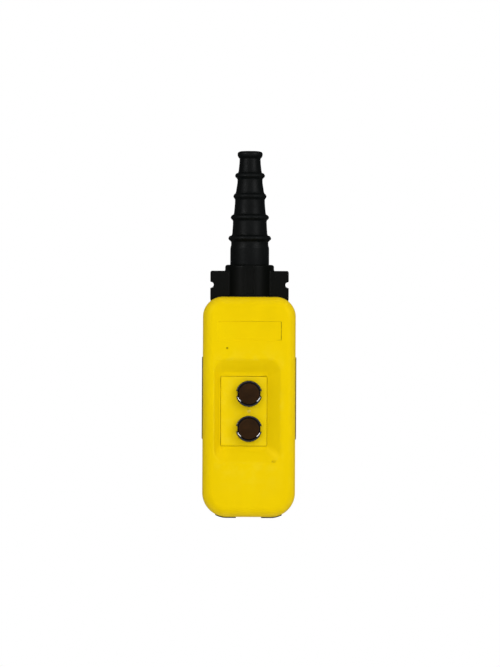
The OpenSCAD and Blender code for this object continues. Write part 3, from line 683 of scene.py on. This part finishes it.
# ----------------------------------------------------------------------------
# rear shell
# ----------------------------------------------------------------------------
def build_rear():
    b = Build()
    prof = rounded([(WALL, SEAL), (0.0, SEAL), (0.0, SEAL + 12.0)], [0, 0.35, 0], 3)
    outer = [b.loop(case_loop(g, y), 0.9 if y < SEAL + 0.4 else 0) for g, y in prof]
    outer += [b.loop(case_loop(0, y), 0) for y in (18.0, 21.0)]
    for i in range(17):
        a = math.radians(90 * i / 16)
        outer.append(b.loop(case_loop(RF * (1 - math.cos(a)), YR - RF + RF * math.sin(a)), 0.3 if 3 < i < 13 else 0))
    b.rows(outer)
    holes = []
    s_lo, s_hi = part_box("case_screws")
    sx = s_hi[0] / MM - 3.4
    ws = ((s_lo[2] - Z0) / MM + 3.4, (s_hi[2] - Z0) / MM - 3.4)
    for x in (-sx, sx):
        for w in ws:
            h = [b.loop(circle(x, w, r, y, 48), 0.6 if y > YR - 0.3 else 0) for r, y in
                 ((3.83, YR), (3.81, YR - 0.06), (3.8, YR - 0.2), (3.8, YR - 12.0), (2.25, YR - 12.0), (2.25, YR - 15))]
            b.rows(h)
            b.fill(h[-1])
            holes.append(h[0])
    # finger flutes
    for k in range(7):
        w = 74 + 8 * k
        rows = []
        for g, d in ((-0.35, 0.0), (-0.12, 0.05), (0.12, 0.2), (0.45, 0.5), (0.85, 0.75), (1.25, 0.88)):
            rows.append(b.loop(rrect(-24 - 0.0 + g, 24 - g, w - 1.67 + g, w + 1.67 - g, max(1.6 - g, 0.3), YR - d, 8, 8), 0.5 if d < 0.1 else 0))
        b.rows(rows)
        b.fill(rows[-1])
        holes.append(rows[0])
    # blank field
    lab = [b.loop(rrect(-20 + g, 20 - g, 146 + g, 168 - g, 0.8, YR - d, 5, 4), 0.4 if d < 0.1 else 0)
           for g, d in ((-0.12, 0), (-0.04, 0.02), (0.0, 0.08), (0.03, 0.32), (0.08, 0.38), (0.16, 0.4))]
    b.rows(lab)
    b.fill(lab[-1])
    holes.append(lab[0])
    b.fill(outer[-1], holes)
    inner = [b.loop(case_loop(WALL, y)) for y in (SEAL, 12.0, 20.0)]
    f = RF - WALL
    for i in range(8):
        a = math.radians(90 * i / 7)
        inner.append(b.loop(case_loop(WALL + f * (1 - math.cos(a)), YR - WALL - f + f * math.sin(a))))
    b.rows(inner)
    b.fill(inner[-1])
    return finish_object("rear_case", b.mesh("rear_case"), mats["yellow_shell"], ROOT, ["rear_shell"], 50)


build_rear()


# ----------------------------------------------------------------------------
# buttons
# ----------------------------------------------------------------------------
def build_button(tag, w):
    blo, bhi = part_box("bezel_" + tag)
    ro = (bhi[2] - blo[2]) / 2 / MM
    y0, y1 = blo[1] / MM, bhi[1] / MM
    clo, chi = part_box("cap_" + tag)
    rc = (chi[0] - clo[0]) / 2 / MM
    cy0, cy1 = clo[1] / MM, chi[1] / MM
    cup = PY0 - 1.0
    cr = rc + 0.3
    pts = [(5.0, y1), (8.0, y1), (8.0, PY0), (ro, PY0), (ro, y0), (ro - 1.1, y0), (cr, y0 + 0.4), (cr, cup), (5.0, cup)]
    rad = [0, 0.3, 0.0, 0.15, 0.3, 0.3, 0.15, 0.2, 0]
    prof = rounded(pts, rad, 5)
    marks = [0.6 if abs(y - y0) < 0.5 else 0.0 for r, y in prof]
    # turned ring with a notch for a ring spanner at both sides
    b = Build()
    loops = []
    for (r, y), mk in zip(prof, marks):
        half = math.asin(min(2.4 / r, 1.0))
        pts = []
        for side in (1, -1):
            pts += [(side * r * math.cos(half + (math.pi - 2 * half) * i / 56), y, w + side * r * math.sin(half + (math.pi - 2 * half) * i / 56)) for i in range(57)]
            for i in range(9):
                z = 2.4 - 4.8 * i / 8
                pts.append((-side * min(math.sqrt(max(r * r - z * z, 0.0)), 9.8), y, w + side * z))
        loops.append(b.loop(pts, mk))
    b.rows(loops)
    b.bridge(loops[-1], loops[0])
    finish_object("bezel_ring_" + tag, b.mesh("bezel_ring_" + tag), mats["bezel_black"], body_of_node["bezel_" + tag], ["bezel_" + tag], 35)
    # cap: shallow dome, rounded shoulder, a fine step where it meets its skirt
    rise = 0.6
    R = (rc * rc + rise * rise) / (2 * rise)
    dome = [(r, cy0 + R - math.sqrt(R * R - r * r)) for r in np.linspace(0, rc - 0.9, 14)]
    edge_y = cy0 + R - math.sqrt(R * R - (rc - 0.9) ** 2)
    pts = [dome[-1], (rc - 0.02, edge_y + 0.18), (rc - 0.02, cy1 - 0.5), (rc - 0.35, cy1 - 0.4), (rc - 0.35, cy1), (0.0, cy1)]
    prof = dome[:-1] + rounded(pts, [0, 0.35, 0.1, 0.05, 0.1, 0], 5)
    marks = [0.7 if rc - 1.0 < r and y < edge_y + 0.6 else 0.15 for r, y in prof]
    lathe("cap_moulding_" + tag, prof, mats["cap_rubber"], body_of_node["cap_" + tag], ["cap_" + tag], (0, w), "y", 128, 50, marks)


build_button("upper", Z_UP)
build_button("lower", Z_LO)


# ----------------------------------------------------------------------------
# rubber sleeve
# ----------------------------------------------------------------------------
def build_sleeve():
    lo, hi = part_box("cable_sleeve")
    top = (hi[2] - Z0) / MM
    necks = [(9.05, 9.95), (10.85, 12.1), (12.9, 13.7), (14.6, 15.2), (16.05, 16.8)]
    beads = [(21.2, 12.9), (39.0, 14.3), (57.3, 16.5), (75.3, 18.45)]
    steps = [(8.5, 4.5), (24, 6.6), (42, 8.3), (60, 10.2), (78, 12)]
    foot = (lo[2] - Z0) / MM - top
    prof = rounded([(7.9, 0), (10.0, -0.55), (10.72, -1.5), (10.9, -2.9), (10.6, -4.4), (9.9, -5.5), (9.05, -6.4), (9.25, -11)],
                   [0, 0.6, 0.6, 1.2, 0.9, 0.7, 0.8, 0], 4)
    for k, (c, rb) in enumerate(beads):
        up, down = necks[k][1], necks[k + 1][0]
        prof += rounded([((necks[k][0] + up) / 2, -(c - 8)), (up, -(c - 4)), (up + 0.45, -(c - 2.6)), (rb - 0.95, -(c - 2.0)), (rb - 0.4, -(c - 1.2)),
                         (rb, -(c - 0.4)), (rb, -(c + 0.5)), (rb - 0.6, -(c + 1.4)), (max(rb - 1.5, down + 0.3), -(c + 2.2)), (down, -(c + 3.1)), (down + 0.05, -(c + 6))],
                        [0, 1.5, 0.35, 0.35, 0.8, 0.6, 0.6, 0.8, 0.8, 0.8, 0], 4)
    prof += [(16.6, -83.0), (16.78, -84.5), (16.8, -98.0), (16.8, -101.0), (18.6, -101.2), (18.6, foot)]
    inner = [(13.2, foot), (12.0 + 1.2, -78.6)]
    for k in range(len(steps) - 1, 0, -1):
        inner += [(steps[k][1], -steps[k][0]), (steps[k][1], -(steps[k - 1][0] + 0.6))]
    inner += [(4.5, -8.5), (4.5, -1.4), (4.8, -0.7), (5.5, -0.15), (6.3, 0)]
    prof = [(r, top + z) for r, z in prof + inner]
    marks = [0.0] * len(prof)
    for i, (r, z) in enumerate(prof):
        d = top - z
        if i < len(prof) - len(inner) and (any(abs(d - c) < 1.2 and r > rb - 0.9 for c, rb in beads) or (d < 4 and r > 9)):
            marks[i] = 0.8
    return lathe("sleeve", prof, mats["sleeve_rubber"], ROOT, ["cable_sleeve"], (0, 0), "z", 160, 40, marks, closed=True)


build_sleeve()


# ----------------------------------------------------------------------------
# entry block
# ----------------------------------------------------------------------------
def case_outline(x, w):
    """Distance outside the case's outline seen from the front."""
    qx, qz = np.abs(x) - (BW / 2 - CR), np.abs(w - BH / 2) - (BH / 2 - CR)
    return np.hypot(np.maximum(qx, 0), np.maximum(qz, 0)) + np.minimum(np.maximum(qx, qz), 0) - CR


def entry_field(x, y, w):
    u = w - BH
    rad = np.hypot(x, y)
    hub = r_and(rad - 21.1, u - 27.9, 2.0)
    hub = r_and(hub, 1.0 - u, 0.3)
    lug = r_and(np.abs(x) - 33.8, u - 22.6, 1.7)
    lug = r_and(lug, np.abs(y) - 12.0, 0.9)
    lug = r_and(lug, 1.0 - case_outline(x, w), 0.3)
    notch = np.hypot(np.abs(x) - 33.5, u - 10.5) - 2.6
    lug = r_and(lug, -notch, 0.5)
    body = r_or(hub, lug, 1.2)
    neck = np.maximum(np.maximum(rad - 20.5, u - 2.0), -6.5 - u)
    flange = r_and(np.maximum(rad - 23.5, u + 3.3), -6.5 - u, 0.3)
    tongue = np.maximum(np.maximum(np.abs(x) - 16.5, np.abs(y - 14) - 2), np.maximum(u + 5.8, -24.8 - u))
    body = np.minimum(np.minimum(body, neck), np.minimum(flange, tongue))
    bore = np.maximum(rad - 18.8, u - 24.9)
    body = r_and(body, -bore, 0.3)
    body = r_and(body, 17.0 - rad, 0.5)
    # flute between two low lands down the front of the hub
    flute = np.maximum(np.maximum(np.abs(x) - 3.6, y + 20.35), 3.0 - u)
    body = r_and(body, -flute, 0.4)
    hole = np.minimum(np.hypot(x - 13, u + 17.8), np.hypot(x + 13, u + 17.8)) - 2.15
    return np.maximum(body, -np.maximum(hole, 5 - y))


e_lo, e_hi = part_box("entry_block")
field_object("entry_moulding", entry_field, (e_lo[0] / MM, e_lo[1] / MM, (e_lo[2] - Z0) / MM), (e_hi[0] / MM, e_hi[1] / MM, (e_hi[2] - Z0) / MM),
             0.5, mats["hard_black"], ROOT, ["entry_block"])

# ----------------------------------------------------------------------------
# carried-over pieces get a fine edge break where they can be seen
# ----------------------------------------------------------------------------
for name, width in (("case_seal", 0.12), ("case_screws", 0.12), ("entry_gasket", 0.12)):
    ob = frame["nodes"][name]
    m = ob.modifiers.new("edge", "BEVEL")
    m.width = width * MM
    m.segments = 2
    m.limit_method = "ANGLE"
    m.angle_limit = math.radians(40)
    m.harden_normals = False

# each button's springs and boot get a mesh of their own
lo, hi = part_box("return_spring_upper")
for tag in ("upper", "lower"):
    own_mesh(frame["nodes"]["return_spring_" + tag])
    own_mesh(frame["nodes"]["contact_spring_" + tag])
    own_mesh(frame["nodes"]["boot_" + tag])

# ----------------------------------------------------------------------------
# studio
# ----------------------------------------------------------------------------
PX = 0.86 * MM                       # metres a pixel at the object
lens, sensor = 200.0, 36.0
cam_data = bpy.data.cameras.new("camera")
cam_data.lens = lens
cam_data.sensor_width = sensor
cam_data.sensor_fit = "AUTO"
cam = bpy.data.objects.new("camera", cam_data)
bpy.context.scene.collection.objects.link(cam)
dist = 667 * PX * lens / sensor
centre_x = (250.0 - 249.3) * PX
centre_z = Z0 + (516.5 - 333.5) * PX
cam.location = (centre_x, -dist - 0.018, centre_z)
cam.rotation_euler = (math.radians(90), math.radians(-0.27), 0)
cam_data.clip_end = 50
bpy.context.scene.camera = cam


def area(name, loc, target, size, power, colour=(1, 1, 1), size_y=None):
    d = bpy.data.lights.new(name, "AREA")
    d.energy = power
    d.color = colour
    d.size = size
    if size_y:
        d.shape = "RECTANGLE"
        d.size_y = size_y
    o = bpy.data.objects.new(name, d)
    bpy.context.scene.collection.objects.link(o)
    o.location = loc
    o.rotation_euler = (Vector(target) - Vector(loc)).to_track_quat("-Z", "Y").to_euler()
    return o


mid = (0, 0, Z0 + 0.10)


def around(azimuth, elevation, reach):
    """Place seen from the buttons: azimuth to the right of the camera, elevation above it."""
    a, e = math.radians(azimuth), math.radians(elevation)
    return (reach * math.sin(a) * math.cos(e), -reach * math.cos(a) * math.cos(e), mid[2] + reach * math.sin(e))


keys = [area("key_left", around(-27, 27, 2.1), mid, 0.7, 4.3, (1.0, 0.99, 0.98), 1.1),
        area("key_right", around(47, 26, 2.1), mid, 0.7, 9.9, (1.0, 0.99, 0.98), 1.1)]
area("front_soft", around(0, 2, 2.4), mid, 1.3, 3.6, (1.0, 1.0, 1.0), 1.3)
for o in (*keys, area("front_fill", around(4, -3, 2.1), mid, 0.6, 2.9),
          area("back_left", (-0.9, 1.5, Z0 + 0.7), mid, 0.7, 7),
          area("back_right", (1.0, 1.5, Z0 + 0.6), mid, 0.7, 7),
          area("under", (0.0, -0.15, Z0 - 0.9), mid, 0.5, 0.7)):
    o.visible_glossy = False
# strips seen only as reflections, in the buttons' rings
for o in (area("strip_left", around(-44, 22, 2.1), mid, 0.16, 10.5, (1, 1, 1), 0.78),
          area("strip_right", around(44, 22, 2.1), mid, 0.16, 10.5, (1, 1, 1), 0.78)):
    o.visible_diffuse = False

world = bpy.data.worlds.new("studio")
bpy.context.scene.world = world
world.use_nodes = True
wn = world.node_tree
wn.nodes.clear()
w_out = wn.nodes.new("ShaderNodeOutputWorld")
w_bg = wn.nodes.new("ShaderNodeBackground")
w_white = wn.nodes.new("ShaderNodeBackground")
w_mix = wn.nodes.new("ShaderNodeMixShader")
w_path = wn.nodes.new("ShaderNodeLightPath")
# white to the camera, an even tent of light for the shading, dim in reflections
w_dim = wn.nodes.new("ShaderNodeBackground")
w_pick = wn.nodes.new("ShaderNodeMixShader")
w_co = wn.nodes.new("ShaderNodeTexCoord")
w_sep = wn.nodes.new("ShaderNodeSeparateXYZ")
w_up = wn.nodes.new("ShaderNodeMapRange")
w_up.inputs["From Min"].default_value = -1.0
w_up.inputs["From Max"].default_value = 1.0
w_up.inputs["To Min"].default_value = 0.31
w_up.inputs["To Max"].default_value = 0.78
w_front = wn.nodes.new("ShaderNodeMapRange")
w_front.inputs["From Min"].default_value = -1.0
w_front.inputs["From Max"].default_value = 1.0
w_front.inputs["To Min"].default_value = 1.25
w_front.inputs["To Max"].default_value = 0.25
w_times = wn.nodes.new("ShaderNodeMath")
w_times.operation = "MULTIPLY"
wn.links.new(w_co.outputs["Generated"], w_sep.inputs["Vector"])
wn.links.new(w_sep.outputs["Z"], w_up.inputs["Value"])
wn.links.new(w_sep.outputs["Y"], w_front.inputs["Value"])
wn.links.new(w_up.outputs["Result"], w_times.inputs[0])
wn.links.new(w_front.outputs["Result"], w_times.inputs[1])
wn.links.new(w_times.outputs["Value"], w_bg.inputs["Strength"])
w_bg.inputs["Color"].default_value = (0.97, 0.98, 1.0, 1)
w_dim.inputs["Color"].default_value = (0.95, 0.97, 1.0, 1)
w_dim.inputs["Strength"].default_value = 0.08
w_white.inputs["Color"].default_value = (1, 1, 1, 1)
w_white.inputs["Strength"].default_value = 1.0
wn.links.new(w_path.outputs["Is Diffuse Ray"], w_pick.inputs["Fac"])
wn.links.new(w_dim.outputs["Background"], w_pick.inputs[1])
wn.links.new(w_bg.outputs["Background"], w_pick.inputs[2])
wn.links.new(w_path.outputs["Is Camera Ray"], w_mix.inputs["Fac"])
wn.links.new(w_pick.outputs["Shader"], w_mix.inputs[1])
wn.links.new(w_white.outputs["Background"], w_mix.inputs[2])
wn.links.new(w_mix.outputs["Shader"], w_out.inputs["Surface"])

# pale floor, well below the hanging station and out of the picture
fl = bpy.data.meshes.new("studio_floor")
fz = Z0 - 0.45
fl.from_pydata([(-1.5, -1.5, fz), (1.5, -1.5, fz), (1.5, 1.2, fz), (-1.5, 1.2, fz)], [], [(0, 1, 2, 3)])
floor = bpy.data.objects.new("studio_floor", fl)
bpy.context.scene.collection.objects.link(floor)
fm, fnt, fp = material("studio_paper")
fcol = ramp(fnt, noise(fnt, coords(fnt), 3.0, 3, 0.5), [(0.3, (0.86, 0.86, 0.86)), (0.7, (0.90, 0.90, 0.90))])
fnt.links.new(fcol, fp.inputs["Base Color"])
fp.inputs["Roughness"].default_value = 0.9
fl.materials.append(fm)
floor.visible_glossy = False

bpy.context.scene.view_settings.view_transform = "Standard"
bpy.context.scene.view_settings.look = "None"
